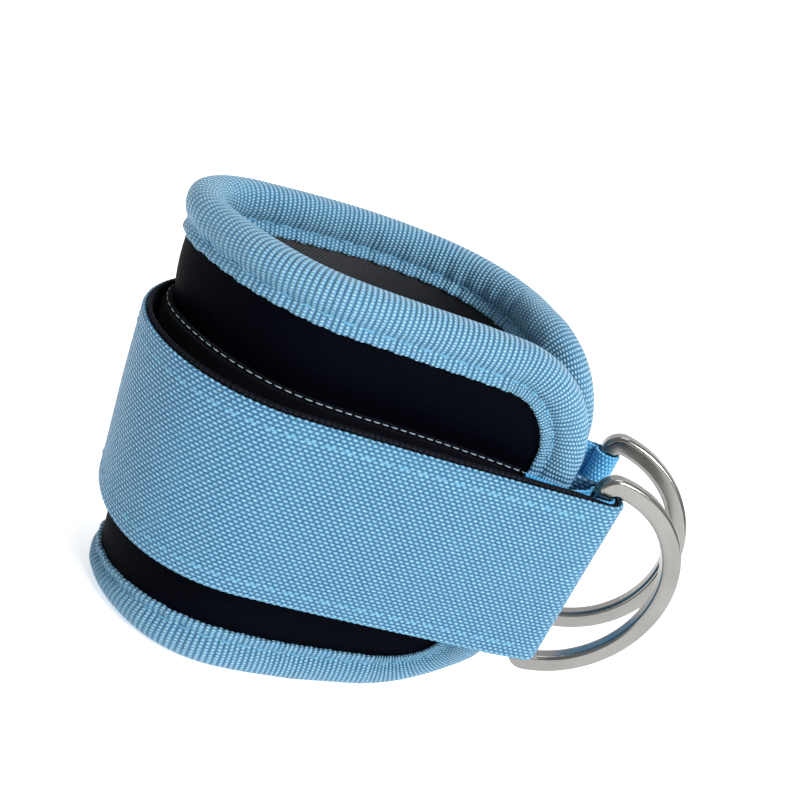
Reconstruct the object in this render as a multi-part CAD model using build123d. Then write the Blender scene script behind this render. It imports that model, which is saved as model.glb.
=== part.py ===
from build123d import *
import os
from math import cos, radians, sin

# Padded ankle cuff for a cable machine: a neoprene panel wrapped into a loop, a webbing
# closure strap cinched through the front ring, and two D-rings.
# Millimetres, +Z up along the leg, +X towards the rings, the cuff standing on its lower rim.

# ---------------------------------------------------------------- driving dimensions
CUFF_HEIGHT = 109.0            # 4.3 in panel
WEBBING_WIDTH = 50.0           # 2 in webbing, used for the base, the tabs and the strap
WEBBING_THICK = 1.3
COVER_THICK = 0.8
FOAM_THICK = 5.0
LINING_THICK = 0.8
BINDING_THICK = 1.05
BINDING_REACH = 11.5           # how far the edge tape reaches over the panel's faces
CORNER_RADIUS = 26.0           # rounded corners of the panel
WINDOW_RADIUS = 14.0           # the same corners along the tape's inner border
TAPE_THICK = 1.0               # hook tape and loop tape
GAP = 0.05                     # air between sewn layers
STRAP_LOW = 29.5               # lower edge of the strap and the base webbing
BACK_TAB_LIFT = 3.5            # the back end of the wrap sits slightly higher

RING_HALF_HEIGHT = 30.9        # D-ring for 2 in webbing
RING_REACH = 31.5              # bar centre to the outside of the bow
RING_SECTION = 5.0
RING_THICK = 4.0
BAR_WIDTH = 4.4
FRONT_BAR = (71.5, -13.3)      # plan position of each ring's straight bar
BACK_BAR = (71.5, 6.0)
FRONT_RING_YAW = 15.0
BACK_RING_YAW = 2.0

# A plan path is a start point, a heading in degrees, and runs of (length, turn in degrees).
# Positive turns go left. The left side of every path here is the outside of the cuff.
CUFF_START = (63.0, -13.5)
CUFF_HEADING = 185.2
CUFF_RUNS = [(54, 11.8), (11, -6), (40, -60), (28, -88), (49, -35), (37, -70), (12, 24), (19, 38)]
CUFF_LENGTH = sum(run[0] for run in CUFF_RUNS)

BODY_HALF = FOAM_THICK / 2 + GAP + COVER_THICK          # mid-surface to the cover's face
BINDING_HALF = BODY_HALF + GAP + BINDING_THICK
BASE_FACE = BODY_HALF + GAP + WEBBING_THICK             # outer face of the base webbing
LOOP_FACE = BASE_FACE + GAP + TAPE_THICK                # outer face of the loop tape
STRAP_HIGH = STRAP_LOW + WEBBING_WIDTH
FRONT_TAB_LENGTH = 12.5                                 # part of each tab sewn to the panel
BACK_TAB_LENGTH = 30.0
TAB_WEBBING = 0.95                                      # a lighter webbing, folded double
TAB_THICK = 2 * TAB_WEBBING
TAB_BORE = 2.65                                         # webbing eye round a ring's bar
TAB_EYE = TAB_BORE + TAB_WEBBING
STRAP_TURN_RADIUS = TAB_EYE + 0.1 + TAPE_THICK          # middle line of the strap's fold
NEAR_END_SPREAD = (-7.0, 7.0)                           # how far the corner cuts reach across
FAR_END_SPREAD = (-7.0, 20.0)                           # each end, which curves towards +Y
STITCH_RAISE = 0.35
STITCH_LENGTH = 3.2
STITCH_PITCH = 4.6
STITCH_WIDTH = 0.8


# ---------------------------------------------------------------- plan paths
def step(x, y, heading, length, turn):
    """End point and heading after one run."""
    if abs(turn) < 1e-6:
        return x + length * cos(heading), y + length * sin(heading), heading
    radius = length / turn
    after = heading + turn
    return x + radius * (sin(after) - sin(heading)), y - radius * (cos(after) - cos(heading)), after


class Path:
    """A chain of tangent arcs; offsets to its left or right are arcs too."""

    def __init__(self, start, heading, runs):
        self.start = start
        self.heading = radians(heading)
        self.runs = [(length, radians(turn)) for length, turn in runs]
        self.length = sum(length for length, _ in runs)

    def pose(self, s):
        x, y = self.start
        heading = self.heading
        for length, turn in self.runs:
            part = min(length, s)
            x, y, heading = step(x, y, heading, part, turn * part / length)
            s -= part
            if s <= 0:
                break
        return x, y, heading

    def point(self, s, out=0.0):
        x, y, heading = self.pose(s)
        return x - out * sin(heading), y + out * cos(heading)

    def stops(self, s0, s1):
        marks = [s0]
        total = 0.0
        for length, _ in self.runs:
            total += length
            if s0 + 0.01 < total < s1 - 0.01:
                marks.append(total)
        return marks + [s1]

    def edges(self, s0, s1, out):
        marks = self.stops(s0, s1)
        spans = []
        for a, b in zip(marks, marks[1:]):
            first, mid, last = [self.point(t, out) for t in (a, (a + b) / 2, b)]
            straight = abs(self.pose(a)[2] - self.pose(b)[2]) < 1e-6
            spans.append(Line(first, last) if straight else ThreePointArc(first, mid, last))
        return spans


def ribbon(path, s0, s1, out0, out1, z0, z1, corner=0.0):
    """A strip of the wrapped cuff between two offsets, with rounded corners if asked."""
    caps = [Line(path.point(s, out0), path.point(s, out1)) for s in (s0, s1)]
    face = make_face(path.edges(s0, s1, out0) + path.edges(s0, s1, out1) + caps)
    solid = Pos(0, 0, z0) * extrude(face, z1 - z0, dir=(0, 0, 1))
    if corner:
        solid -= corner_waste(path, s0, 1, z0, z1, corner, NEAR_END_SPREAD)
        solid -= corner_waste(path, s1, -1, z0, z1, corner, FAR_END_SPREAD)
    return solid


def corner_waste(path, s, inward, z0, z1, radius, spread):
    """What rounding takes off the two corners at one end of a strip."""
    x, y, heading = path.pose(s)
    along = Vector(inward * cos(heading), inward * sin(heading), 0)
    across = Vector(along.Y, -along.X, 0)
    waste = Sketch()
    for edge, side in ((z0, -1), (z1, 1)):
        centre = edge - side * radius
        square = Pos((radius - 1) / 2, centre + side * (radius + 1) / 2) * Rectangle(radius + 1, radius + 1)
        waste += square - Pos(radius, centre) * Circle(radius)
    plane = Plane(origin=Vector(x, y, 0) + across * spread[0], x_dir=along, z_dir=across)
    return extrude(plane * waste, spread[1] - spread[0])


CUFF = Path(CUFF_START, CUFF_HEADING, CUFF_RUNS)

# The strap starts sewn inside the back end, leaves through the gap between the two ends,
# turns round the front ring's bar and runs back over the front and round the left bend.
FOLD_HEADING = 200.0
ANCHOR_ARC = 20.0
ANCHOR_TURN = 36.0
ANCHOR_STRAIGHT = 6.0
ANCHOR_LENGTH = ANCHOR_ARC + ANCHOR_STRAIGHT
ANCHOR_BEND = ANCHOR_ARC / radians(ANCHOR_TURN)
STRAP_START = (FRONT_BAR[0] - ANCHOR_STRAIGHT - ANCHOR_BEND * sin(radians(ANCHOR_TURN)),
               FRONT_BAR[1] + STRAP_TURN_RADIUS + ANCHOR_BEND * (1 - cos(radians(ANCHOR_TURN))))
STRAP_FOLD = STRAP_TURN_RADIUS * radians(360 - FOLD_HEADING)
STRAP_RUNS = [(ANCHOR_ARC, ANCHOR_TURN), (ANCHOR_STRAIGHT, 0.0), (STRAP_FOLD, FOLD_HEADING - 360),
              (77.8, -3.2), (45, -65.9), (47.1, -78)]
TAIL_RUNS = [(4.4, -10), (53.2, -35)]
STRAP = Path(STRAP_START, -ANCHOR_TURN, STRAP_RUNS + TAIL_RUNS)
PEEL_S = sum(run[0] for run in STRAP_RUNS) - 11.0       # where the tail starts to peel
PEEL_GAP = 0.4
TAIL_END = STRAP.length
FRONT_HOOK_START = ANCHOR_LENGTH - 2.0


# ---------------------------------------------------------------- cuff body
def panel(out0, out1, inset=BINDING_THICK + GAP):
    return ribbon(CUFF, inset, CUFF_LENGTH - inset, out0, out1, inset, CUFF_HEIGHT - inset,
                  CORNER_RADIUS - inset)


def outer_cover():
    return panel(FOAM_THICK / 2 + GAP, BODY_HALF)


def foam_core():
    return panel(-FOAM_THICK / 2, FOAM_THICK / 2)


def inner_lining():
    return panel(-FOAM_THICK / 2 - GAP - LINING_THICK, -FOAM_THICK / 2 - GAP)


def edge_binding():
    """Tape folded over the panel's whole edge: a band with a window on both faces."""
    band = ribbon(CUFF, 0, CUFF_LENGTH, -BINDING_HALF, BINDING_HALF, 0, CUFF_HEIGHT, CORNER_RADIUS)
    body = panel(-BODY_HALF - GAP, BODY_HALF + GAP, BINDING_THICK)
    window = ribbon(CUFF, BINDING_REACH, CUFF_LENGTH - BINDING_REACH, -BINDING_HALF - 1,
                    BINDING_HALF + 1, BINDING_REACH, CUFF_HEIGHT - BINDING_REACH, WINDOW_RADIUS)
    return band - body - window


# ---------------------------------------------------------------- webbing sewn to the cuff
def base_webbing():
    return ribbon(CUFF, FRONT_TAB_LENGTH + 1, CUFF_LENGTH - BACK_TAB_LENGTH - 1, BODY_HALF + GAP,
                  BASE_FACE, STRAP_LOW, STRAP_HIGH)


def loop_tape():
    return ribbon(CUFF, FRONT_TAB_LENGTH + 5, CUFF_LENGTH - BACK_TAB_LENGTH - 6, BASE_FACE + GAP,
                  LOOP_FACE, STRAP_LOW + 1, STRAP_HIGH - 1)


def ring_tab(bar, s_inner, s_end, lift):
    """Webbing folded round a ring's bar, both layers sewn to the outside of the panel's end."""
    inner = BINDING_HALF + GAP
    outer = inner + TAB_THICK
    low = STRAP_LOW + lift
    high = low + WEBBING_WIDTH
    sewn = ribbon(CUFF, min(s_inner, s_end), max(s_inner, s_end), inner, outer, low, high)
    neck_in = CUFF.point(s_end, inner)
    neck_out = CUFF.point(s_end, outer)
    side = 1 if neck_out[1] > neck_in[1] else -1
    eye_low = (bar[0], bar[1] - side * (TAB_EYE - 0.4))
    eye_high = (bar[0], bar[1] + side * (TAB_EYE - 0.1))
    neck = make_face(Polyline(neck_in, eye_low, eye_high, neck_out, close=True))
    outline = neck + Pos(*bar) * Circle(TAB_EYE)
    eye = extrude(outline - Pos(*bar) * Circle(TAB_BORE), WEBBING_WIDTH, dir=(0, 0, 1))
    return sewn + Pos(0, 0, low) * eye


def front_ring_tab():
    return ring_tab(FRONT_BAR, FRONT_TAB_LENGTH, 0.0, 0.0)


def back_ring_tab():
    return ring_tab(BACK_BAR, CUFF_LENGTH - BACK_TAB_LENGTH, CUFF_LENGTH, BACK_TAB_LIFT)


# ---------------------------------------------------------------- metal rings
def d_ring(bar, yaw, lift):
    """Flat D: a straight bar and a bow, drawn in the X-Z plane and turned about the bar."""
    def outline(half, reach, bar_face, corner):
        bow = reach - half
        shape = Pos(bow, 0) * Circle(half)
        keep = Pos((bar_face + reach) / 2, 0) * Rectangle(reach - bar_face, 2 * half)
        shape = shape & keep
        left = shape.vertices().sort_by(Axis.X)[:2]
        return fillet(left, corner)

    outer = outline(RING_HALF_HEIGHT, RING_REACH, -BAR_WIDTH / 2, 5.0)
    inner = outline(RING_HALF_HEIGHT - RING_SECTION, RING_REACH - RING_SECTION, BAR_WIDTH / 2, 1.2)
    ring = extrude(Plane.XZ * (outer - inner), RING_THICK / 2, both=True)
    ring = fillet(ring.edges().filter_by(lambda e: abs(abs(e.center().Y) - RING_THICK / 2) < 1e-3), 1.1)
    mid = STRAP_LOW + WEBBING_WIDTH / 2 + lift
    return Pos(bar[0], bar[1], mid) * Rot(0, 0, yaw) * ring


def front_d_ring():
    return d_ring(FRONT_BAR, FRONT_RING_YAW, 0.0)


def back_d_ring():
    return d_ring(BACK_BAR, BACK_RING_YAW, BACK_TAB_LIFT)


# ---------------------------------------------------------------- closure strap
def closure_strap():
    return ribbon(STRAP, 0, PEEL_S - PEEL_GAP / 2, 0, WEBBING_THICK, STRAP_LOW, STRAP_HIGH)


def hook_tape():
    return ribbon(STRAP, FRONT_HOOK_START, PEEL_S - PEEL_GAP / 2, -TAPE_THICK, -GAP / 2,
                  STRAP_LOW + 0.5, STRAP_HIGH - 0.5)


def strap_tail():
    return ribbon(STRAP, PEEL_S + PEEL_GAP / 2, TAIL_END, 0, WEBBING_THICK, STRAP_LOW, STRAP_HIGH)


def tail_hook_tape():
    return ribbon(STRAP, PEEL_S + PEEL_GAP / 2, TAIL_END - 12, -TAPE_THICK, -GAP / 2,
                  STRAP_LOW + 0.5, STRAP_HIGH - 0.5)


def tail_hem():
    """The tail's end turned back once, on its outer face."""
    return ribbon(STRAP, TAIL_END - 12, TAIL_END, WEBBING_THICK + GAP, 2 * WEBBING_THICK + GAP,
                  STRAP_LOW, STRAP_HIGH)


# ---------------------------------------------------------------- stitching
def stitch_row(path, s0, s1, out, z, raise_by=STITCH_RAISE):
    """A level row of stitches on a face, leaning out from offset `out`."""
    count = int((s1 - s0 - STITCH_LENGTH) / STITCH_PITCH) + 1
    rise = raise_by if out >= 0 else -raise_by
    row = []
    for i in range(count):
        s = s0 + i * STITCH_PITCH
        row.append(ribbon(path, s, s + STITCH_LENGTH, out, out + rise,
                          z - STITCH_WIDTH / 2, z + STITCH_WIDTH / 2))
    return row


def stitch_column(path, s, z0, z1, out, raise_by=STITCH_RAISE):
    """An upright row of stitches on a face."""
    count = int((z1 - z0 - STITCH_LENGTH) / STITCH_PITCH) + 1
    rise = raise_by if out >= 0 else -raise_by
    column = []
    for i in range(count):
        z = z0 + i * STITCH_PITCH
        column.append(ribbon(path, s - STITCH_WIDTH / 2, s + STITCH_WIDTH / 2, out, out + rise,
                             z, z + STITCH_LENGTH))
    return column


def box_seam(path, s0, s1, z0, z1, out):
    """Four rows round a rectangle."""
    rows = stitch_row(path, s0 + 2, s1 - 2, out, z0) + stitch_row(path, s0 + 2, s1 - 2, out, z1)
    return rows + stitch_column(path, s0, z0 + 1, z1 - 1, out) + stitch_column(path, s1, z0 + 1, z1 - 1, out)


def binding_stitches(face):
    """The row along the tape's inner border, on one face of the cuff."""
    out = face * (BINDING_HALF + GAP)
    inset = BINDING_REACH - 3.0
    rows = []
    for z in (inset, CUFF_HEIGHT - inset):
        rows += stitch_row(CUFF, CORNER_RADIUS, CUFF_LENGTH - CORNER_RADIUS, out, z)
    for s in (inset, CUFF_LENGTH - inset):
        rows += stitch_column(CUFF, s, CORNER_RADIUS, STRAP_LOW - 1, out)
        rows += stitch_column(CUFF, s, STRAP_HIGH + 5, CUFF_HEIGHT - CORNER_RADIUS + 2, out)
    return rows


def binding_stitches_outside():
    return binding_stitches(1)


def binding_stitches_inside():
    return binding_stitches(-1)


def base_webbing_stitches():
    rows = []
    for z in (STRAP_LOW + 0.5, STRAP_HIGH - 0.5):
        rows += stitch_row(CUFF, FRONT_TAB_LENGTH + 2, CUFF_LENGTH - BACK_TAB_LENGTH - 3,
                           BASE_FACE + GAP, z, 0.25)
    return rows


def strap_edge_stitches():
    rows = []
    start = ANCHOR_LENGTH + STRAP_FOLD + 4
    for z in (STRAP_LOW + 4.5, STRAP_HIGH - 4.5):
        rows += stitch_row(STRAP, start, PEEL_S - 3, WEBBING_THICK + GAP, z)
    return rows


def tail_edge_stitches():
    rows = []
    for z in (STRAP_LOW + 4.5, STRAP_HIGH - 4.5):
        rows += stitch_row(STRAP, PEEL_S + 4, TAIL_END - 14, WEBBING_THICK + GAP, z)
    return rows


def tail_hem_stitches():
    out = 2 * WEBBING_THICK + 2 * GAP
    rows = []
    for s in (TAIL_END - 9.5, TAIL_END - 3.0):
        rows += stitch_column(STRAP, s, STRAP_LOW + 3, STRAP_HIGH - 2, out)
    return rows


def front_tab_stitches():
    out = BINDING_HALF + 2 * GAP + TAB_THICK
    return box_seam(CUFF, 2.5, FRONT_TAB_LENGTH - 2.0, STRAP_LOW + 4, STRAP_HIGH - 4, out)


def back_tab_stitches():
    out = BINDING_HALF + 2 * GAP + TAB_THICK
    low = STRAP_LOW + BACK_TAB_LIFT
    return box_seam(CUFF, CUFF_LENGTH - BACK_TAB_LENGTH + 2.5, CUFF_LENGTH - 16, low + 4,
                    low + WEBBING_WIDTH - 4, out)


def strap_anchor_stitches():
    """The seam that holds the strap's hidden end inside the back end of the cuff."""
    rows = []
    for s in (2.5, 10.0):
        rows += stitch_column(STRAP, s, STRAP_LOW + 3, STRAP_HIGH - 2, -GAP)
    return rows


NODES = {
    "outer_cover": outer_cover,
    "foam_core": foam_core,
    "inner_lining": inner_lining,
    "edge_binding": edge_binding,
    "base_webbing": base_webbing,
    "loop_tape": loop_tape,
    "front_ring_tab": front_ring_tab,
    "back_ring_tab": back_ring_tab,
    "front_d_ring": front_d_ring,
    "back_d_ring": back_d_ring,
    "closure_strap": closure_strap,
    "hook_tape": hook_tape,
    "strap_tail": strap_tail,
    "tail_hook_tape": tail_hook_tape,
    "tail_hem": tail_hem,
    "binding_stitches_outside": binding_stitches_outside,
    "binding_stitches_inside": binding_stitches_inside,
    "base_webbing_stitches": base_webbing_stitches,
    "strap_edge_stitches": strap_edge_stitches,
    "tail_edge_stitches": tail_edge_stitches,
    "tail_hem_stitches": tail_hem_stitches,
    "front_tab_stitches": front_tab_stitches,
    "back_tab_stitches": back_tab_stitches,
    "strap_anchor_stitches": strap_anchor_stitches,
}

built = {name: make() for name, make in NODES.items()}
shapes = {name: Compound(part) if isinstance(part, list) else part
          for name, part in built.items()}
whole = Compound(list(shapes.values())).bounding_box()
ORIGIN = ((whole.min.X + whole.max.X) / 2, (whole.min.Y + whole.max.Y) / 2)
to_origin = Pos(-ORIGIN[0], -ORIGIN[1], -whole.min.Z)

os.makedirs("parts", exist_ok=True)
for name, shape in shapes.items():
    export_step(to_origin * shape, f"parts/{name}.step")

print("size", whole.size, "origin", ORIGIN, "low", whole.min.Z)
peel = STRAP.point(PEEL_S, WEBBING_THICK)
for label, spot in (("front bar", FRONT_BAR), ("back bar", BACK_BAR), ("peel line", peel)):
    print(label, round(spot[0] - ORIGIN[0], 3), round(spot[1] - ORIGIN[1], 3))
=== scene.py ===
import bpy
import numpy as np
from mathutils import Matrix, Vector


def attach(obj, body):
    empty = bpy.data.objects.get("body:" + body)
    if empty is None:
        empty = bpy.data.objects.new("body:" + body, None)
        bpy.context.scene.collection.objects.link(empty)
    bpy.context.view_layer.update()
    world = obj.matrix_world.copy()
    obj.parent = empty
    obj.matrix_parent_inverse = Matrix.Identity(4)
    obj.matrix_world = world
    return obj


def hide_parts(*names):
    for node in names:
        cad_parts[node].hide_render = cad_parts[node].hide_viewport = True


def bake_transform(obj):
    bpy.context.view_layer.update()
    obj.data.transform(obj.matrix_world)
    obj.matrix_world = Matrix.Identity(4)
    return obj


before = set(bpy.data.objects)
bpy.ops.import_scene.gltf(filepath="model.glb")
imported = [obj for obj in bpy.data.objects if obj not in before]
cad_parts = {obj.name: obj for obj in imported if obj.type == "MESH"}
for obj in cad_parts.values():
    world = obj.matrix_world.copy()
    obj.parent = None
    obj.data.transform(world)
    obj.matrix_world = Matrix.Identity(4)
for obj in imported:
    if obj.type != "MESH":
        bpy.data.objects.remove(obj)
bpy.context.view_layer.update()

# Padded ankle cuff: a bound neoprene panel wrapped into a loop, a webbing closure strap
# cinched round the front ring's bar, and two D-rings. Sizes are in millimetres in the row
# frame, and become metres where a mesh is made.
MM = 0.001

# ---------------------------------------------------------------- sizes shared with the CAD
CUFF_HEIGHT = 109.0
STRAP_LOW, STRAP_HIGH = 29.5, 79.5
STRAP_MIDDLE = (STRAP_LOW + STRAP_HIGH) / 2
WEBBING_THICK = 1.3
TAPE_THICK = 1.0
TAB_WEBBING = 0.95
TAB_BORE = 2.65
FRONT_TAB_SEWN = 12.5           # length of each tab that is sewn to the panel
BACK_TAB_SEWN = 30.0
BACK_TAB_LIFT = 3.5
BODY_HALF = 3.35                # mid-surface to the cover's face
BINDING_HALF = 4.45             # mid-surface to the tape's face
BASE_FACE = 4.70                # outer face of the base webbing
LOOP_FACE = 5.75                # outer face of the loop tape
BINDING_REACH = 11.5
CORNER_RADIUS = 26.0
INSET = 1.1                     # the panel's edge inside the tape

PLAN_SHIFT = np.array([-25.640, 2.100])     # plan lines are drawn from the rings' end
CUFF_START = (63.0, -13.5)
CUFF_HEADING = 185.2
CUFF_RUNS = [(54, 11.8), (11, -6), (40, -60), (28, -88), (49, -35), (37, -70), (12, 24),
             (19, 38)]
FRONT_BAR = (71.5, -13.3)
BACK_BAR = (71.5, 6.0)
STRAP_START = (46.79, -2.52)
STRAP_HEADING = -36.0
STRAP_RUNS = [(20, 36), (6, 0), (13.125, -160), (77.8, -3.2), (45, -65.9), (47.1, -78),
              (4.4, -10), (53.2, -35)]
ANCHOR_LENGTH = 26.0
FOLD_END = 39.1
HOOK_CREEP = 1.25               # how far the hook layer shows above the strap's upper edge
HEM_LENGTH = 12.0
STITCH_PITCH = 4.6

# ---------------------------------------------------------------- sizes of the soft shapes
# Spots are (size, place along the plan line, spread).
LEFT_BULGE = (2.9, 118, 17)
TOP_FLARE = 1.6
TOP_FLARE_SPOTS = [(1.6, 170, 38), (0.8, 118, 16), (-1.0, 0, 16)]
BOTTOM_FLARE = 1.2
BOTTOM_FLARE_SPOTS = [(4.6, 76, 30), (-2.4, 122, 14), (-3.4, 0, 20)]
LOWER_LIP_SAG = (4.6, 112, 24)
CORNER_LIFT, CORNER_LIFT_SPAN, CORNER_LIFT_POWER = 10.0, 46, 1.3
STRAP_WAVE, STRAP_WAVE_SIZE = 0.22, 46.0
STRAP_WAVE_END = 230            # the strap lies flat past here
LEFT_BEND, LEFT_BEND_SPREAD = 168, 24
RING_FOLD, RING_FOLD_SPREAD, RING_FOLD_PULL = 32.5, 12, 1.3
SELVEDGE_BAND = 1.2             # height of a ribbon's notched edge
SELVEDGE_NOTCH = 1.9            # from one notch to the next
PANEL_ROWS, PANEL_COLUMNS = 66, 150
PANEL_RIM_HALF = 2.2            # half the panel's thickness under the tape
PUFF_SPREAD = 9
HELD_MARGIN = 7                 # how far the strap's squeeze reaches past its edges
FLOOR_GAP = 0.02


# ---------------------------------------------------------------- plan lines
class PlanLine:
    """A line seen from above; its left side is the outside of the cuff."""

    def __init__(self, x, y):
        self.x = x + PLAN_SHIFT[0]
        self.y = y + PLAN_SHIFT[1]
        gaps = np.hypot(np.diff(x), np.diff(y))
        self.s = np.concatenate([[0.0], np.cumsum(gaps)])
        self.heading = np.unwrap(np.arctan2(np.gradient(y), np.gradient(x)))
        self.length = self.s[-1]

    def at(self, s, out):
        """x and y at a length along the line and a distance to its left."""
        inside = np.clip(s, 0, self.length)
        heading = np.interp(inside, self.s, self.heading)
        x = np.interp(inside, self.s, self.x) + (s - inside) * np.cos(heading)
        y = np.interp(inside, self.s, self.y) + (s - inside) * np.sin(heading)
        return x - out * np.sin(heading), y + out * np.cos(heading)


def arcs(start, heading, runs, pitch=0.1):
    """A plan line of tangent arcs, each a (length, turn in degrees)."""
    knots = np.concatenate([[0.0], np.cumsum([length for length, _ in runs])])
    turns = np.concatenate([[0.0], np.cumsum([turn for _, turn in runs])])
    s = np.linspace(0, knots[-1], int(knots[-1] / pitch) + 1)
    angle = np.radians(heading + np.interp(s, knots, turns))
    middle = (angle[1:] + angle[:-1]) / 2
    ds = np.diff(s)
    x = start[0] + np.concatenate([[0.0], np.cumsum(np.cos(middle) * ds)])
    y = start[1] + np.concatenate([[0.0], np.cumsum(np.sin(middle) * ds)])
    return PlanLine(x, y)


def smooth(points, per_span):
    """Catmull-Rom points through a short list of points."""
    p = np.asarray(points, float)
    before = np.vstack([2 * p[0] - p[1], p[:-1]])
    after = np.vstack([p[1:], 2 * p[-1] - p[-2]])
    slope = (after - before) / 2
    t = np.linspace(0, 1, per_span, endpoint=False)[:, None]
    out = []
    for i in range(len(p) - 1):
        out.append((2 * t**3 - 3 * t**2 + 1) * p[i] + (t**3 - 2 * t**2 + t) * slope[i]
                   + (3 * t**2 - 2 * t**3) * p[i + 1] + (t**3 - t**2) * slope[i + 1])
    out.append(p[-1:])
    return np.vstack(out)


CUFF = arcs(CUFF_START, CUFF_HEADING, CUFF_RUNS)
STRAP = arcs(STRAP_START, STRAP_HEADING, STRAP_RUNS)
CUFF_LENGTH = CUFF.length


# ---------------------------------------------------------------- how the soft parts settle
def ramp(value, low, high):
    t = np.clip((value - low) / (high - low), 0, 1)
    return t * t * (3 - 2 * t)


def bump(value, centre, width):
    return np.exp(-(((value - centre) / width) ** 2))


def bumps(value, base, spots):
    """A base value with the given spots added."""
    for size, centre, width in spots:
        base = base + size * bump(value, centre, width)
    return base


def ripple(a, b, size, seed):
    """Smooth, uneven waves between about -1.3 and 1.3; the seed turns and shifts them."""
    total = 0.0
    for k in range(4):
        turn = seed * 1.7 + k * 2.4
        wave = size * (1.0 + 0.37 * k)
        angle = 6.283 * (a * np.cos(turn) + b * np.sin(turn)) / wave
        total = total + np.sin(angle + seed * 3.1 + k * 1.3)
    return total / 3.0


def cuff_point(s, out, z):
    """A point of the wrapped panel. The strap squeezes its middle, so the rims stand out."""
    top = ramp(z, STRAP_HIGH + 2, CUFF_HEIGHT)
    bottom = ramp(STRAP_LOW - z, -2, STRAP_LOW)
    left = bumps(s, 0.0, [LEFT_BULGE]) * ramp(z, STRAP_MIDDLE, STRAP_HIGH + 6)
    top_flare = bumps(s, TOP_FLARE, TOP_FLARE_SPOTS)
    bottom_flare = bumps(s, BOTTOM_FLARE, BOTTOM_FLARE_SPOTS)
    x, y = CUFF.at(s, out + left + top * top_flare + bottom * bottom_flare)
    from_corner = np.clip((CORNER_LIFT_SPAN - s) / CORNER_LIFT_SPAN, 0, 1)
    lift = CORNER_LIFT * from_corner**CORNER_LIFT_POWER * bottom
    sag = bumps(s, 0.0, [LOWER_LIP_SAG]) * ramp(z, 0, 12) * ramp(32 - z, 0, 20)
    return np.stack([x, y, z + lift - sag], -1)


def strap_point(s, out, z):
    """A point of the strap, whose lower edge is pulled in round the left bend."""
    height = (z - STRAP_LOW) / (STRAP_HIGH - STRAP_LOW)
    free = ramp(s, FOLD_END + 4, FOLD_END + 30)
    wave = STRAP_WAVE * ripple(s, z, STRAP_WAVE_SIZE, 1) * free * ramp(STRAP_WAVE_END - s, 0, 30)
    x, y = STRAP.at(s, out + wave)
    at_bend = (2.2 - 2.8 * height) * bump(s, LEFT_BEND, LEFT_BEND_SPREAD)
    at_fold = RING_FOLD_PULL * (1 - height) * bump(s, RING_FOLD, RING_FOLD_SPREAD)
    return np.stack([x + (at_bend - at_fold), y, z + 0.0 * s], -1)


def hook_point(s, out, z):
    """The hook layer creeps up past the webbing's edge once it leaves the ring."""
    free = ramp(s, FOLD_END - 6, FOLD_END + 12)
    return strap_point(s, out, z + HOOK_CREEP * free * ramp(z, STRAP_MIDDLE, STRAP_HIGH))


# ---------------------------------------------------------------- meshes
def add_mesh(name, points, faces, uv=None):
    """A smooth mesh object from millimetre points; uv is one millimetre pair per face corner."""
    data = bpy.data.meshes.new(name)
    data.from_pydata((np.asarray(points) * MM).tolist(), [], faces)
    if uv is not None:
        layer = data.uv_layers.new(name="cloth")
        layer.data.foreach_set("uv", np.asarray(uv, np.float32).ravel())
    data.polygons.foreach_set("use_smooth", [True] * len(data.polygons))
    data.update()
    piece = bpy.data.objects.new(name, data)
    bpy.context.scene.collection.objects.link(piece)
    return piece


def grid_faces(rows, columns, close_rows=False, close_columns=True):
    """Quads of a grid of points, and for each corner its row and column before wrapping."""
    i, j = np.meshgrid(np.arange(rows if close_rows else rows - 1),
                       np.arange(columns if close_columns else columns - 1), indexing="ij")
    i, j = i.ravel(), j.ravel()
    corners = np.stack([np.stack([i, j], -1), np.stack([i + 1, j], -1),
                        np.stack([i + 1, j + 1], -1), np.stack([i, j + 1], -1)], 1)
    index = (corners[..., 0] % rows) * columns + corners[..., 1] % columns
    return index, corners


def ribbon(name, to_point, s0, s1, out0, out1, z0, z1, pitch=0.8, scallop=0.0):
    """A band with rounded edges along a plan line. uv is length along and height in mm."""
    half = (out1 - out0) / 2
    across = int((z1 - z0 - 2 * half) / pitch) + 1
    flat = np.linspace(z0 + half, z1 - half, across)
    turn = np.linspace(0, np.pi, 5)[1:-1]
    z = np.concatenate([flat, z1 - half + half * np.sin(turn),
                        flat[::-1], z0 + half - half * np.sin(turn)])
    out = np.concatenate([np.full(across, out1), out0 + half + half * np.cos(turn),
                          np.full(across, out0), out0 + half - half * np.cos(turn)])
    s = np.linspace(s0, s1, int((s1 - s0) / pitch) + 2)
    S, Z = np.meshgrid(s, z, indexing="ij")
    OUT = np.broadcast_to(out, S.shape)
    edge = ramp(np.abs(Z - (z0 + z1) / 2), (z1 - z0) / 2 - SELVEDGE_BAND, (z1 - z0) / 2)
    notches = np.abs(np.sin(np.pi * S / SELVEDGE_NOTCH)) - 0.6
    Z = Z + np.sign(Z - (z0 + z1) / 2) * scallop * edge * notches
    points = to_point(S, OUT, Z).reshape(-1, 3)
    rows, columns = S.shape
    index, corners = grid_faces(rows, columns)
    gaps = np.hypot(np.diff(np.append(z, z[0])), np.diff(np.append(out, out[0])))
    v = z0 + half + np.concatenate([[0.0], np.cumsum(gaps)])
    uv = np.stack([s[corners[..., 0]], v[corners[..., 1]]], -1).reshape(-1, 2)
    faces = index.tolist()
    caps = [list(range(columns))[::-1], list(range((rows - 1) * columns, rows * columns))]
    cap_uv = [(s[end], v[p % columns]) for end, cap in zip((0, -1), caps) for p in cap]
    uv = np.vstack([uv, np.array(cap_uv)])
    return add_mesh(name, points, faces + caps, uv)


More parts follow.
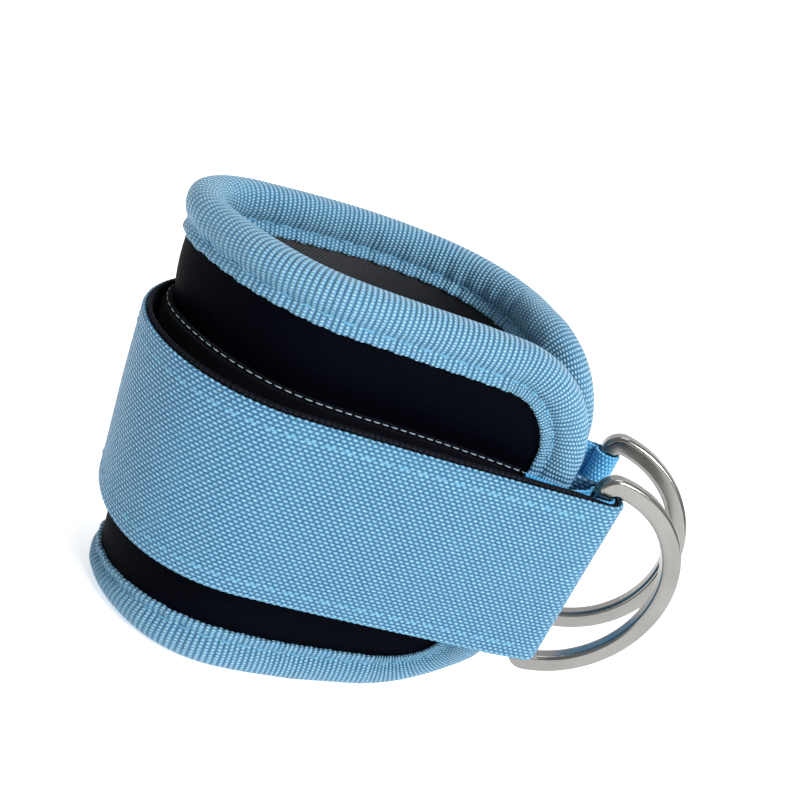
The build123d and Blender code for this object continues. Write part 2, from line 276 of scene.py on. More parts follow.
STITCH_RINGS, STITCH_SIDES = 7, 6
STITCH_ALONG = np.linspace(-1, 1, STITCH_RINGS)
STITCH_FAT = np.sqrt(np.clip(1 - STITCH_ALONG**4, 0.02, 1))[:, None]
STITCH_TURN = np.linspace(0, 2 * np.pi, STITCH_SIDES, endpoint=False)
STITCH_DIP = 0.16 * STITCH_ALONG[:, None] ** 4      # a stitch's ends sink into the cloth


def stitch_mesh(name, stitches):
    """One mesh of rounded stitches, each given as rings of points."""
    size = STITCH_RINGS * STITCH_SIDES
    index, _ = grid_faces(STITCH_RINGS, STITCH_SIDES)
    faces = []
    for start in range(0, len(stitches) * size, size):
        faces += (index + start).tolist()
        faces += [[start + c for c in range(STITCH_SIDES)][::-1],
                  [start + size - STITCH_SIDES + c for c in range(STITCH_SIDES)]]
    return add_mesh(name, np.vstack([stitch.reshape(-1, 3) for stitch in stitches]), faces)


def threads(name, to_point, rows, length=3.3, pitch=STITCH_PITCH, width=0.62, rise=0.42):
    """Short rounded stitches in rows, each row (s0, s1, z0, z1, out)."""
    stitches = []
    for s0, s1, z0, z1, out in rows:
        span = np.hypot(s1 - s0, z1 - z0)
        ds, dz = (s1 - s0) / span, (z1 - z0) / span
        side = np.sign(out)
        for k in range(int(span / pitch)):
            middle = (k + 0.5) * pitch
            t = middle + STITCH_ALONG[:, None] * length / 2
            across = width / 2 * STITCH_FAT * np.cos(STITCH_TURN)
            lift = out + side * (rise / 2 * STITCH_FAT * np.sin(STITCH_TURN) - STITCH_DIP)
            stitches.append(to_point(s0 + t * ds - across * dz, lift, z0 + t * dz + across * ds))
    return stitch_mesh(name, stitches)


# ---------------------------------------------------------------- padded panel
def row_limits(z, length, inset):
    """Where a level line enters and leaves the panel's rounded outline."""
    radius = CORNER_RADIUS - inset
    depth = np.clip(CORNER_RADIUS - np.minimum(z, CUFF_HEIGHT - z), 0, radius)
    cut = radius - np.sqrt(np.clip(radius**2 - depth**2, 0, None))
    return inset + cut, length - inset - cut


def padded_panel():
    """One closed crowned pad: outer cover, foam and lining, thinner under the tape."""
    z = np.linspace(INSET, CUFF_HEIGHT - INSET, PANEL_ROWS)
    columns = PANEL_COLUMNS
    low, high = row_limits(z, CUFF_LENGTH, INSET)
    share = (1 - np.cos(np.linspace(0, np.pi, columns))) / 2
    share = 0.75 * np.linspace(0, 1, columns) + 0.25 * share
    S = low[:, None] + share[None, :] * (high - low)[:, None]
    Z = np.broadcast_to(z[:, None], S.shape)
    reach = np.minimum(np.minimum(S - low[:, None], high[:, None] - S),
                       np.minimum(Z, CUFF_HEIGHT - Z))
    half = PANEL_RIM_HALF + (BODY_HALF - PANEL_RIM_HALF) * ramp(reach, 0, BINDING_REACH + 3)
    puff = ramp(reach, BINDING_REACH, BINDING_REACH + PUFF_SPREAD)
    pressed = (ramp(Z, STRAP_LOW - HELD_MARGIN, STRAP_LOW)
               * ramp(STRAP_HIGH + HELD_MARGIN - Z, 0, HELD_MARGIN))
    outer = (half + 0.75 * puff * (1 - pressed)
             + 0.12 * ripple(S, Z, 31.0, 2) * puff * (1 - pressed))
    inner = -half - puff * (0.55 + 0.35 * ripple(S, Z * 0.45, 24.0, 3))
    front = cuff_point(S, outer, Z)
    back = cuff_point(S, inner, Z)
    rows = len(z)
    points = np.concatenate([front, back[:, ::-1]], 1)
    index, corners = grid_faces(rows, 2 * columns)
    u = np.concatenate([S, S[:, ::-1]], 1)
    uv = np.stack([u[corners[..., 0] % rows, corners[..., 1] % (2 * columns)],
                   z[corners[..., 0] % rows]], -1).reshape(-1, 2)
    rim = []                    # faces that close the pad along its bottom and top
    for row in (0, rows - 1):
        first = row * 2 * columns
        for c in range(columns - 1):
            far = first + 2 * columns - 1 - c
            quad = [first + c, first + c + 1, far - 1, far]
            rim.append(quad if row else quad[::-1])
    uv = np.vstack([uv, np.zeros((4 * len(rim), 2))])
    piece = add_mesh("padded_panel", points.reshape(-1, 3), index.tolist() + rim, uv)
    is_lining = (corners[:, 0, 1] >= columns - 1).astype(int).tolist() + [0] * len(rim)
    piece.data.polygons.foreach_set("material_index", is_lining)
    under_tape = reach < BINDING_REACH - 1.5
    under_webbing = pressed > 0.6
    return piece, np.concatenate([under_tape | under_webbing, under_tape[:, ::-1]], 1)


def puff_up(piece, sewn, cap=1.3, frames=14):
    """Cloth simulation with air pressure: the panel crowns where nothing sewn holds it down."""
    data = piece.data
    rest = np.empty(len(data.vertices) * 3)
    data.vertices.foreach_get("co", rest)
    rest = rest.reshape(-1, 3)
    held = piece.vertex_groups.new(name="held")
    held.add(np.flatnonzero(sewn.reshape(-1)).tolist(), 1.0, "REPLACE")
    cloth = piece.modifiers.new("cloth", "CLOTH")
    cloth.settings.quality = 5
    cloth.settings.mass = 0.3
    cloth.settings.tension_stiffness = 12
    cloth.settings.compression_stiffness = 12
    cloth.settings.bending_stiffness = 0.4
    cloth.settings.use_pressure = True
    cloth.settings.uniform_pressure_force = 3.5
    cloth.settings.vertex_group_mass = "held"
    cloth.settings.effector_weights.gravity = 0
    cloth.point_cache.frame_start = 1
    cloth.point_cache.frame_end = frames
    for number in range(1, frames + 1):
        bpy.context.scene.frame_set(number)
    view = bpy.context.evaluated_depsgraph_get()
    moved = np.empty(len(data.vertices) * 3)
    piece.evaluated_get(view).data.vertices.foreach_get("co", moved)
    move = moved.reshape(-1, 3) - rest
    size = np.linalg.norm(move, axis=1, keepdims=True)
    limit = cap * MM
    move *= limit * np.tanh(size / limit) / np.maximum(size, 1e-9)
    piece.modifiers.remove(cloth)
    piece.vertex_groups.remove(held)
    bpy.context.scene.frame_set(1)
    data.vertices.foreach_set("co", (rest + move).ravel())
    data.update()


# ---------------------------------------------------------------- edge binding
def outline_frame(p):
    """For a length round the panel's edge: s and z there, and the direction inward."""
    r = CORNER_RADIUS
    wide, tall, arc = CUFF_LENGTH - 2 * r, CUFF_HEIGHT - 2 * r, np.pi * r / 2
    s, z = np.zeros_like(p), np.zeros_like(p)
    ns, nz = np.zeros_like(p), np.zeros_like(p)
    # Each span: its length, its start or centre, then a direction or a first angle.
    spans = [(wide, (r, 0), (1, 0), None),
             (arc, (CUFF_LENGTH - r, r), None, -90),
             (tall, (CUFF_LENGTH, r), (0, 1), None),
             (arc, (CUFF_LENGTH - r, CUFF_HEIGHT - r), None, 0),
             (wide, (CUFF_LENGTH - r, CUFF_HEIGHT), (-1, 0), None),
             (arc, (r, CUFF_HEIGHT - r), None, 90),
             (tall, (0, CUFF_HEIGHT - r), (0, -1), None),
             (arc, (r, r), None, 180)]
    start = 0.0
    for length, spot, direction, first in spans:
        here = (p >= start) & (p < start + length + 1e-6)
        t = p[here] - start
        if direction:
            s[here], z[here] = spot[0] + t * direction[0], spot[1] + t * direction[1]
            ns[here], nz[here] = -direction[1], direction[0]
        else:
            angle = np.radians(first) + t / r
            s[here], z[here] = spot[0] + r * np.cos(angle), spot[1] + r * np.sin(angle)
            ns[here], nz[here] = -np.cos(angle), -np.sin(angle)
        start += length
    return s, z, ns, nz


PERIMETER = 2 * (CUFF_LENGTH + CUFF_HEIGHT - 4 * CORNER_RADIUS) + 2 * np.pi * CORNER_RADIUS
CHANNEL = 8.7                   # the stitch line, measured in from the cuff's edge
RIB = 1.30                      # from one rib of the edge tape to the next
TAPE_STEPS = 1720               # points round the panel's edge
PLEAT_LENGTH = 7.1
PLEAT_OUTSIDE, PLEAT_INSIDE = 0.26, 0.62
TAB_ZONE = 34                   # the tape lies flat under the tabs, this far from each end
# The tape's section on the outer face: distance in from the edge, and height over mid-surface.
TAPE_SECTION = [(11.3, 2.9), (11.75, 3.55), (11.6, 4.25), (10.8, 4.40), (9.7, 3.95),
                (CHANNEL, 3.50), (7.9, 3.95), (6.7, 4.60), (5.0, 4.90), (3.2, 4.75),
                (1.6, 4.05), (0.45, 2.75), (-0.05, 1.0)]


def edge_tape():
    """Ribbed tape folded over the whole edge: plump rim, sewn channel, puckered lip."""
    half = np.array(TAPE_SECTION)
    loop = np.vstack([half, half[::-1] * [1, -1]])
    section = smooth(loop, per_span=4)
    deep, high = section[:, 0], section[:, 1]
    p = np.linspace(0, PERIMETER, TAPE_STEPS, endpoint=False)
    s, z, ns, nz = outline_frame(p)
    P = p[:, None] + 0 * deep
    level = 0 * P
    side = np.sign(high)[None, :]
    lip = ramp(deep, 7.0, 10.5)[None, :]
    rim = ramp(7.5 - deep, 0, 4.0)[None, :]
    beat = 2 * np.pi * P / STITCH_PITCH
    crease = 0.5 + 0.5 * ripple(P, 3.0 * np.sign(high), 8.3, 4)
    pleat_size = np.where((high < 0)[None, :], PLEAT_INSIDE, PLEAT_OUTSIDE)
    pleat_turn = 2 * np.pi * P / PLEAT_LENGTH + 1.5 * ripple(P, level, 37.0, 5)
    pleat = pleat_size * crease * np.sin(pleat_turn)
    swell = 0.22 * ripple(P, level, 19.0, 6) * rim
    rise = (lip * (0.16 * np.sin(beat) + 0.7 * pleat)
            + (1 - lip) * ramp(deep, 0.5, 7)[None, :] * 0.8 * pleat + swell)
    teeth = np.abs(np.sin(np.pi * P / RIB)) - 0.6
    uneven_lip = 0.06 * np.sin(beat + 0.6) + 0.16 * ripple(P, level, 17.0, 7) + 0.22 * teeth
    DEEP = deep[None, :] + lip * uneven_lip
    OUT = high[None, :] + side * rise * ramp(np.abs(high), 0.8, 3.5)[None, :]
    S = s[:, None] + ns[:, None] * DEEP
    Z = z[:, None] + nz[:, None] * DEEP
    under_front = ((S < TAB_ZONE) * ramp(Z, STRAP_LOW - 4, STRAP_LOW)
                   * ramp(STRAP_HIGH + 4 - Z, 0, 4))
    under_back = ((S > CUFF_LENGTH - TAB_ZONE) * ramp(Z, STRAP_LOW - 1, STRAP_LOW + 3)
                  * ramp(STRAP_HIGH + 8 - Z, 0, 4))
    flat = np.minimum(OUT, BINDING_HALF - 0.25)
    OUT = np.where(OUT > 0, OUT + (flat - OUT) * np.clip(under_front + under_back, 0, 1), OUT)
    Z = np.maximum(Z, FLOOR_GAP)
    points = cuff_point(S, OUT, Z)
    index, corners = grid_faces(len(p), len(deep), close_rows=True, close_columns=False)
    gaps = np.hypot(np.diff(deep), np.diff(high))
    v = np.concatenate([[0.0], np.cumsum(gaps)])
    uv = np.stack([corners[..., 0] * PERIMETER / len(p), v[corners[..., 1]]], -1)
    return add_mesh("edge_binding_tape", points.reshape(-1, 3), index.tolist(), uv.reshape(-1, 2))


def tape_threads(name, face):
    """The sewn row in the tape's channel on one face, left out where the tabs cover it."""
    stitches = []
    for k in range(int(PERIMETER / STITCH_PITCH)):
        p = (k + 0.5) * STITCH_PITCH + STITCH_ALONG * 1.55
        s, z, ns, nz = outline_frame(p % PERIMETER)
        middle = s[STITCH_RINGS // 2], z[STITCH_RINGS // 2]
        near_end = min(middle[0], CUFF_LENGTH - middle[0]) < BINDING_REACH
        if face > 0 and near_end and STRAP_LOW - 2 < middle[1] < STRAP_HIGH + 5:
            continue
        deep = CHANNEL + 0.31 * STITCH_FAT * np.cos(STITCH_TURN)
        out = face * (3.58 + 0.24 * STITCH_FAT * np.sin(STITCH_TURN) - STITCH_DIP)
        stitches.append(cuff_point(s[:, None] + ns[:, None] * deep, out,
                                   z[:, None] + nz[:, None] * deep))
    return stitch_mesh(name, stitches)


# ---------------------------------------------------------------- ring tabs
def tab_line(bar, s_end, side):
    """Plan line of one folded tab: outer layer, round the bar, inner layer."""
    inner = BINDING_HALF + 0.05 + TAB_WEBBING / 2
    outer = inner + TAB_WEBBING
    sewn = FRONT_TAB_SEWN if s_end == 0 else CUFF_LENGTH - BACK_TAB_SEWN
    along = np.linspace(sewn, s_end, 8)
    out_xy = np.stack(CUFF.at(along, np.full_like(along, outer)), -1) - PLAN_SHIFT
    in_xy = np.stack(CUFF.at(along[::-1], np.full_like(along, inner)), -1) - PLAN_SHIFT
    reach = TAB_BORE + TAB_WEBBING / 2
    turn = np.radians(np.linspace(-80, 190, 10)) * side
    eye = np.stack([bar[0] + reach * np.cos(turn), bar[1] + reach * np.sin(turn)], -1)
    points = smooth(np.vstack([out_xy, eye, in_xy]), per_span=10)
    return PlanLine(points[:, 0], points[:, 1])


def tab(name, bar, s_end, side, lift):
    """Webbing folded round one ring's bar."""
    line = tab_line(bar, s_end, side)

    def to_point(s, out, z):
        x, y = line.at(s, out)
        return np.stack([x, y, z + 0.0 * s], -1)

    half = TAB_WEBBING / 2 - 0.03
    return ribbon(name, to_point, 0, line.length, -half, half, STRAP_LOW + lift, STRAP_HIGH + lift,
                  pitch=0.7, scallop=0.2)


def box_seam(s0, s1, z0, z1, out):
    """Four stitch rows round a rectangle."""
    return [(s0, s1, z0, z0, out), (s0, s1, z1, z1, out),
            (s0, s0, z0, z1, out), (s1, s1, z0, z1, out)]


# ---------------------------------------------------------------- materials
def shader_tree(name, roughness, sheen=0.0, metallic=0.0, gloss=0.15):
    material = bpy.data.materials.new(name)
    material.use_nodes = True
    tree = material.node_tree
    shader = tree.nodes["Principled BSDF"]
    shader.inputs["Roughness"].default_value = roughness
    shader.inputs["Metallic"].default_value = metallic
    shader.inputs["Sheen Weight"].default_value = sheen
    shader.inputs["Sheen Roughness"].default_value = 0.45
    shader.inputs["Specular IOR Level"].default_value = gloss
    return material, tree, shader


def node(tree, kind, inputs=(), **settings):
    made = tree.nodes.new(kind)
    for key, value in settings.items():
        setattr(made, key, value)
    for key, value in dict(inputs).items():
        if isinstance(value, bpy.types.NodeSocket):
            tree.links.new(value, made.inputs[key])
        else:
            made.inputs[key].default_value = value
    return made


def math(tree, operation, a, b=0.0, clamp=False):
    made = node(tree, "ShaderNodeMath", {0: a, 1: b}, operation=operation, use_clamp=clamp)
    return made.outputs[0]


def mixed(tree, share, low, high):
    made = node(tree, "ShaderNodeMix", data_type="RGBA")
    factor, colour_a, colour_b = made.inputs[0], made.inputs[6], made.inputs[7]
    for socket, value in ((factor, share), (colour_a, low), (colour_b, high)):
        if isinstance(value, bpy.types.NodeSocket):
            tree.links.new(value, socket)
        else:
            socket.default_value = value
    return made.outputs[2]


def cloth_axes(tree):
    """Lengths along and across the cloth, in millimetres."""
    uv = node(tree, "ShaderNodeUVMap", uv_map="cloth")
    split = node(tree, "ShaderNodeSeparateXYZ", {0: uv.outputs[0]})
    return split.outputs[0], split.outputs[1]


def crown(tree, value):
    """Round yarn profile: 0 at whole numbers, 1 halfway between."""
    return math(tree, "ABSOLUTE", math(tree, "SINE", math(tree, "MULTIPLY", value, np.pi)))


def plain_weave(tree, u, v, cell_u, cell_v):
    """Height of a plain weave, from 0 in the gaps to 1 on top of the yarns."""
    a = math(tree, "DIVIDE", u, cell_u)
    b = math(tree, "DIVIDE", v, cell_v)
    shifted_b = math(tree, "MULTIPLY", math(tree, "ADD", b, math(tree, "FLOOR", a)), 0.5)
    shifted_a = math(tree, "MULTIPLY",
                     math(tree, "ADD", math(tree, "ADD", a, math(tree, "FLOOR", b)), 1.0), 0.5)
    warp = math(tree, "MULTIPLY", crown(tree, a), crown(tree, shifted_b))
    weft = math(tree, "MULTIPLY", crown(tree, b), crown(tree, shifted_a))
    return math(tree, "MAXIMUM", warp, weft)


def beaded(tree, across, along, rib, bead, cut, roundness=1.0):
    """Height of ribbed cloth: round ribs of small beads, staggered from rib to rib."""
    column = math(tree, "DIVIDE", across, rib)
    slip = math(tree, "MULTIPLY", math(tree, "FLOOR", column), 0.5)
    beads = crown(tree, math(tree, "ADD", math(tree, "DIVIDE", along, bead), slip))
    notched = math(tree, "ADD", math(tree, "MULTIPLY", beads, cut), 1.0 - cut)
    return math(tree, "MULTIPLY", math(tree, "POWER", crown(tree, column), roundness), notched)


def uneven(tree, scale, detail=3.0):
    """Slow variation through space, from about 0.3 to 0.7."""
    spot = node(tree, "ShaderNodeTexCoord")
    return node(tree, "ShaderNodeTexNoise",
                {"Vector": spot.outputs["Object"], "Scale": scale, "Detail": detail}).outputs["Fac"]


def bumped(tree, shader, height, distance, strength=1.0):
    made = node(tree, "ShaderNodeBump",
                {"Height": height, "Distance": distance, "Strength": strength})
    tree.links.new(made.outputs[0], shader.inputs["Normal"])


def yarn_colour_with_painted_light(tree, height, light, shade_colour, slow_scale):
    """Painted shade in the gaps, mid-tone flanks and painted highlights on the lit tops, with slow
    fading through space.
    """
    fine = uneven(tree, 1000.0, 2.0)
    speckle = math(tree, "MULTIPLY", math(tree, "SUBTRACT", fine, 0.5), 0.35)
    lit = math(tree, "ADD", height, speckle, clamp=True)
    # Painted shade: the yarn's own colour darkens to the shade colour towards the gaps, by height.
    flank = mixed(tree, math(tree, "POWER", lit, 1.15), shade_colour, light)
    # Painted highlight: the tops of the yarns are mixed towards a paler tint of their colour.
    top = math(tree, "POWER", lit, 5.0)
    pale = [0.55 * channel + 0.40 for channel in light[:3]] + [1]
    with_painted_highlight = mixed(tree, math(tree, "MULTIPLY", top, 0.55), flank, pale)
    slow = uneven(tree, slow_scale)
    faded = [0.72 * channel for channel in light[:3]] + [1]
    return mixed(tree, math(tree, "MULTIPLY", slow, 0.3), with_painted_highlight, faded)


YARN_ROUGHNESS, YARN_SHEEN, YARN_GLOSS = 0.42, 0.03, 0.35


def woven(name, light, shade_colour, cell_u, cell_v, depth):
    """Coarse yarn cloth: crowned yarns, painted shade in the gaps, painted highlights on the
    crests, fine strands and slow colour change.
    """
    material, tree, shader = shader_tree(name, YARN_ROUGHNESS, YARN_SHEEN, gloss=YARN_GLOSS)
    u, v = cloth_axes(tree)
    height = beaded(tree, v, u, cell_v, cell_u, 0.88, 0.75)
    strands = crown(tree, math(tree, "DIVIDE", math(tree, "ADD", u, v), cell_u / 3.2))
    tree.links.new(yarn_colour_with_painted_light(tree, height, light, shade_colour, 55.0), shader.inputs["Base Color"])
    relief = math(tree, "ADD", height, math(tree, "MULTIPLY", strands, 0.10))
    bumped(tree, shader, relief, depth * MM)
    return material


def ribbed(name, light, shade_colour, rib, bead, depth):
    """Ribbed tape: round ribs across it, each broken into small beads, with painted shade in the
    gaps and painted highlights on top.
    """
    material, tree, shader = shader_tree(name, YARN_ROUGHNESS, YARN_SHEEN, gloss=YARN_GLOSS)
    u, v = cloth_axes(tree)
    height = beaded(tree, u, v, rib, bead, 0.6)
    tree.links.new(yarn_colour_with_painted_light(tree, height, light, shade_colour, 70.0), shader.inputs["Base Color"])
    bumped(tree, shader, height, depth * MM)
    return material


def knit(name, colour, worn, roughness, sheen, gloss):
    """Fine stretch knit over foam: tiny ribs and a slightly uneven face."""
    material, tree, shader = shader_tree(name, roughness, sheen, gloss=gloss)
    u, v = cloth_axes(tree)
    loops = plain_weave(tree, u, v, 0.55, 0.55)
    patches = uneven(tree, 60.0, 4.0)
    tree.links.new(mixed(tree, patches, colour, worn), shader.inputs["Base Color"])
    fine = uneven(tree, 1500.0, 2.0)
    bumped(tree, shader, math(tree, "ADD", loops, math(tree, "MULTIPLY", fine, 0.6)), 0.06 * MM)
    return material


def hook_cloth(name):
    """Hook tape: rows of tiny hooks on a ribbed ground."""
    material, tree, shader = shader_tree(name, 0.8, gloss=0.08)
    u, v = cloth_axes(tree)
    rows = crown(tree, math(tree, "DIVIDE", u, 1.5))
    hooks = math(tree, "MULTIPLY", rows, crown(tree, math(tree, "DIVIDE", v, 0.9)))
    # Painted shade: the ground between the hooks is darker and the hook tops lighter, following
    # their height.
    tree.links.new(mixed(tree, hooks, (0.003, 0.0035, 0.007, 1), (0.016, 0.018, 0.028, 1)),
                   shader.inputs["Base Color"])
    bumped(tree, shader, hooks, 0.4 * MM)
    return material


def thread_cloth(name, light, shade_colour):
    """Twisted sewing thread, painted darker in the twist grooves as shade and lighter on the
    crests.
    """
    material, tree, shader = shader_tree(name, 0.5, 0.2)
    spot = node(tree, "ShaderNodeTexCoord")
    twist = node(tree, "ShaderNodeTexWave",
                 {"Vector": spot.outputs["Object"], "Scale": 1600.0, "Distortion": 1.0},
                 bands_direction="DIAGONAL")
    # Painted shade and highlight: the colour follows the twist's relief, darker in the grooves.
    tree.links.new(mixed(tree, twist.outputs["Fac"], shade_colour, light), shader.inputs["Base Color"])
    bumped(tree, shader, twist.outputs["Fac"], 0.08 * MM)
    return material


def ring_steel(name):
    """Satin steel: fine brushing on the flats, soft smudges in the gloss."""
    material, tree, shader = shader_tree(name, 0.24, metallic=1.0, gloss=0.5)
    spot = node(tree, "ShaderNodeTexCoord")
    stretch = node(tree, "ShaderNodeMapping",
                   {"Vector": spot.outputs["Object"], "Scale": (40.0, 40.0, 900.0)})
    grain = node(tree, "ShaderNodeTexNoise",
                 {"Vector": stretch.outputs[0], "Scale": 1.0, "Detail": 4.0})
    smudge = uneven(tree, 90.0, 4.0)
    rough = node(tree, "ShaderNodeMapRange",
                 {"Value": smudge, "From Min": 0.3, "From Max": 0.7,
                  "To Min": 0.12, "To Max": 0.27})
    tree.links.new(rough.outputs[0], shader.inputs["Roughness"])
    tint = mixed(tree, smudge, (0.20, 0.195, 0.185, 1), (0.31, 0.305, 0.295, 1))
    tree.links.new(tint, shader.inputs["Base Color"])
    bumped(tree, shader, grain.outputs["Fac"], 0.02 * MM, 0.5)
    return material


BLUE = (0.210, 0.610, 0.880, 1)
# The gap colours are painted shade in the hollows between the yarns, not a second dye.
BLUE_GAP_SHADE = (0.006, 0.085, 0.260, 1)
TAPE_BLUE = (0.270, 0.600, 0.810, 1)
TAPE_GAP_SHADE = (0.020, 0.130, 0.300, 1)
TAB_BLUE = (0.13, 0.60, 0.98, 1)
TAB_GAP_SHADE = (0.02, 0.22, 0.56, 1)
STRAP_CLOTH = woven("strap_webbing_cloth", BLUE, BLUE_GAP_SHADE, 1.6, 1.0, 0.8)
TAB_CLOTH = woven("tab_webbing_cloth", TAB_BLUE, TAB_GAP_SHADE, 0.9, 1.1, 0.35)
TAPE_CLOTH = ribbed("binding_tape_cloth", TAPE_BLUE, TAPE_GAP_SHADE, RIB, 0.82, 0.6)
SHELL_CLOTH = knit("outer_cover_knit", (0.0007, 0.0010, 0.0030, 1), (0.0014, 0.0018, 0.0045, 1),
                   roughness=0.6, sheen=0.0, gloss=0.02)
LINING_CLOTH = knit("lining_knit", (0.004, 0.005, 0.008, 1), (0.012, 0.014, 0.019, 1),
                    roughness=0.5, sheen=0.10, gloss=0.3)
LOOP_CLOTH = knit("loop_pile", (0.002, 0.0022, 0.004, 1), (0.005, 0.0055, 0.009, 1),
                  roughness=0.9, sheen=0.05, gloss=0.03)
HOOK_CLOTH = hook_cloth("hook_tape_cloth")
THREAD_CLOTH = thread_cloth("blue_thread", (0.20, 0.50, 0.72, 1), (0.12, 0.38, 0.60, 1))
PALE_THREAD = thread_cloth("pale_thread", (0.62, 0.76, 0.86, 1), (0.25, 0.42, 0.58, 1))
STEEL = ring_steel("ring_satin_steel")


def finish_piece(piece, material, body=None, stands_for=()):
    piece.data.materials.append(material)
    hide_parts(*stands_for)
    if body:
        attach(piece, body)


# ---------------------------------------------------------------- the pieces
panel, panel_sewn = padded_panel()
puff_up(panel, panel_sewn)
panel.data.materials.append(SHELL_CLOTH)
finish_piece(panel, LINING_CLOTH, "cuff",
             ["outer_cover", "foam_core", "inner_lining"])

tape = edge_tape()
finish_piece(tape, TAPE_CLOTH, "cuff", ["edge_binding"])
for side, face in (("outside", 1), ("inside", -1)):
    row = tape_threads(f"binding_thread_{side}", face)
    finish_piece(row, THREAD_CLOTH, "cuff", [f"binding_stitches_{side}"])

base = ribbon("base_webbing_band", cuff_point, FRONT_TAB_SEWN + 1, CUFF_LENGTH - BACK_TAB_SEWN - 1,
              BODY_HALF + 0.05, BASE_FACE, STRAP_LOW, STRAP_HIGH, scallop=0.2)
finish_piece(base, LOOP_CLOTH, "cuff", ["base_webbing"])
loops = ribbon("loop_tape_band", cuff_point, FRONT_TAB_SEWN + 5, CUFF_LENGTH - BACK_TAB_SEWN - 6,
               BASE_FACE + 0.05, LOOP_FACE, STRAP_LOW + 1, STRAP_HIGH - 1)
finish_piece(loops, LOOP_CLOTH, "cuff", ["loop_tape"])
base_rows = [(FRONT_TAB_SEWN - 8, CUFF_LENGTH - BACK_TAB_SEWN - 3, z, z, BASE_FACE + 0.1)
             for z in (STRAP_LOW + 0.4, STRAP_HIGH - 0.4)]
selvedge = threads("base_webbing_thread", cuff_point, base_rows,
                   length=1.7, pitch=2.3, width=0.34, rise=0.3)
finish_piece(selvedge, PALE_THREAD, "cuff", ["base_webbing_stitches"])

FRONT_SEAM = (2.5, 10.5)
BACK_SEAM = (CUFF_LENGTH - 27.5, CUFF_LENGTH - 16)
TAB_FACE = BINDING_HALF + 2 * TAB_WEBBING
for name, bar, s_end, turn_side, lift, (first, last) in (
        ("front", FRONT_BAR, 0.0, 1, 0.0, FRONT_SEAM),
        ("back", BACK_BAR, CUFF_LENGTH, -1, BACK_TAB_LIFT, BACK_SEAM)):
    piece = tab(f"{name}_tab_webbing", bar, s_end, turn_side, lift)
    finish_piece(piece, TAB_CLOTH, "cuff", [f"{name}_ring_tab"])
    seam = box_seam(first, last, STRAP_LOW + lift + 4, STRAP_HIGH + lift - 4, TAB_FACE + 0.1)
    sewn = threads(f"{name}_tab_thread", cuff_point, seam)
    finish_piece(sewn, THREAD_CLOTH, "cuff", [f"{name}_tab_stitches"])

strap = ribbon("closure_strap_webbing", strap_point, 0, STRAP.length, 0.0, WEBBING_THICK,
               STRAP_LOW, STRAP_HIGH, pitch=0.6, scallop=0.28)
finish_piece(strap, STRAP_CLOTH, None, ["closure_strap", "strap_tail"])
hooks = ribbon("strap_hook_band", hook_point, ANCHOR_LENGTH - 2, STRAP.length - HEM_LENGTH,
               -TAPE_THICK, -0.03, STRAP_LOW + 0.5, STRAP_HIGH - 0.2)
finish_piece(hooks, HOOK_CLOTH, None, ["hook_tape", "tail_hook_tape"])
edge_rows = [(FOLD_END + 4, STRAP.length - 14, z, z, WEBBING_THICK + 0.06)
             for z in (STRAP_LOW + 4.5, STRAP_HIGH - 4.5)]
edge_thread = threads("strap_edge_thread", strap_point, edge_rows,
                      length=3.6, width=0.42, rise=0.26)
finish_piece(edge_thread, THREAD_CLOTH, None,
             ["strap_edge_stitches", "tail_edge_stitches"])

hem = ribbon("tail_hem_fold", strap_point, STRAP.length - HEM_LENGTH, STRAP.length + 0.3,
             WEBBING_THICK + 0.05, 2 * WEBBING_THICK + 0.05, STRAP_LOW, STRAP_HIGH,
             pitch=0.6, scallop=0.28)
finish_piece(hem, STRAP_CLOTH, "tail", ["tail_hem"])
hem_rows = [(s, s, STRAP_LOW + 3, STRAP_HIGH - 3, 2 * WEBBING_THICK + 0.15)
            for s in (STRAP.length - 9.5, STRAP.length - 3.0)]
hem_thread = threads("tail_hem_thread", strap_point, hem_rows)
finish_piece(hem_thread, THREAD_CLOTH, "tail", ["tail_hem_stitches"])
anchor_rows = [(s, s, STRAP_LOW + 3, STRAP_HIGH - 3, -0.1) for s in (2.5, 10.0)]
anchor = threads("strap_anchor_thread", strap_point, anchor_rows)
finish_piece(anchor, THREAD_CLOTH, "cuff", ["strap_anchor_stitches"])

# Two points on the strap, in metres, where the tail would peel; the loop below only bakes the
# strap's meshes in place and bends nothing.
PEEL_FROM, PEEL_TO = (-0.075, 0.004, 0.0545), (-0.075, 0.018, 0.0545)
for piece in (strap, hooks, edge_thread):
    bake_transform(piece)
    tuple(PEEL_FROM)
    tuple(PEEL_TO)

for ring in ("front_d_ring", "back_d_ring"):
    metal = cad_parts[ring]
    metal.data.materials.clear()
    metal.data.materials.append(STEEL)


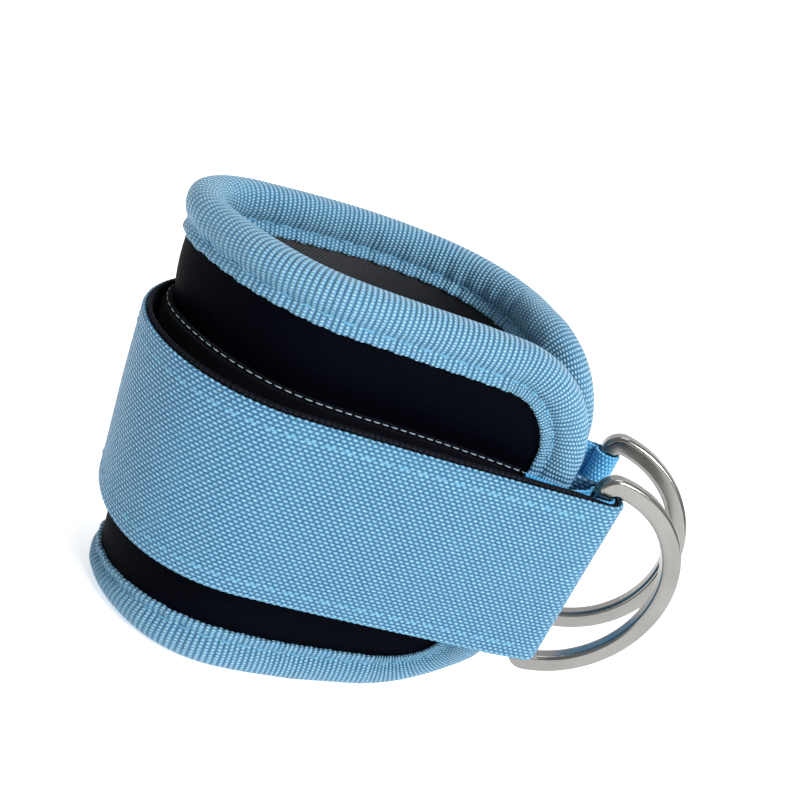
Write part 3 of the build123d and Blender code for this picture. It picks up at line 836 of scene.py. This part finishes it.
# ---------------------------------------------------------------- studio
def paper():
    """Plain pale sheet: flat floor that curves up behind."""
    material, tree, shader = shader_tree("studio_paper", 0.9)
    tone = uneven(tree, 3.0)
    pale = mixed(tree, tone, (0.90, 0.90, 0.90, 1), (0.93, 0.93, 0.93, 1))
    tree.links.new(pale, shader.inputs["Base Color"])
    shader.inputs["Emission Color"].default_value = (1, 1, 1, 1)
    shader.inputs["Emission Strength"].default_value = 0.52
    rise = smooth([(-4.0, 0), (2.0, 0), (2.6, 0.12), (3.0, 0.6), (3.1, 1.6), (3.1, 5.0)],
                  per_span=8)
    half_width = 6.0
    corners = [(x, y, max(z, 0.0)) for y, z in rise.tolist() for x in (-half_width, half_width)]
    faces = [(k, k + 1, k + 3, k + 2) for k in range(0, len(corners) - 2, 2)]
    data = bpy.data.meshes.new("studio_floor")
    data.from_pydata(corners, [], faces)
    floor = bpy.data.objects.new("studio_floor", data)
    bpy.context.scene.collection.objects.link(floor)
    data.materials.append(material)


def area_light(name, place, aim, size, power):
    """A rectangular light; sizes and places in metres, power in watts."""
    data = bpy.data.lights.new(name, "AREA")
    data.shape = "RECTANGLE"
    data.size, data.size_y = size
    data.energy = power
    light = bpy.data.objects.new(name, data)
    turn = (Vector(aim) - Vector(place)).to_track_quat("-Z", "Y")
    light.matrix_world = Matrix.Translation(place) @ turn.to_matrix().to_4x4()
    bpy.context.scene.collection.objects.link(light)


bpy.context.scene.view_settings.view_transform = "Standard"
paper()
area_light("key_right", (0.60, -0.50, 0.60), (0, 0, 0.05), (0.35, 0.35), 8.5)
area_light("top", (0.05, 0.15, 0.9), (0, 0, 0.0), (0.5, 0.5), 2.2)
world = bpy.data.worlds.new("studio")
world.use_nodes = True
sky = world.node_tree.nodes["Background"]
sky.inputs["Color"].default_value = (1, 1, 1, 1)
sky.inputs["Strength"].default_value = 0.40
bpy.context.scene.world = world

# ---------------------------------------------------------------- camera
LENS, SENSOR = 49.5, 36.0
PITCH, ROLL = np.radians(23.4), np.radians(24.0)
CAMERA_PLACE = (-0.00914, -0.2594, 0.1879)
right = (np.cos(ROLL), np.sin(ROLL) * np.sin(PITCH), np.sin(ROLL) * np.cos(PITCH))
up = (-np.sin(ROLL), np.cos(ROLL) * np.sin(PITCH), np.cos(ROLL) * np.cos(PITCH))
back = (0.0, -np.cos(PITCH), np.sin(PITCH))
lens = bpy.data.cameras.new("camera")
lens.lens = LENS
lens.sensor_width = SENSOR
lens.clip_start = 0.01
camera = bpy.data.objects.new("camera", lens)
axes = [[right[k], up[k], back[k], CAMERA_PLACE[k]] for k in range(3)]
camera.matrix_world = Matrix(axes + [[0, 0, 0, 1]])
bpy.context.scene.collection.objects.link(camera)
bpy.context.scene.camera = camera
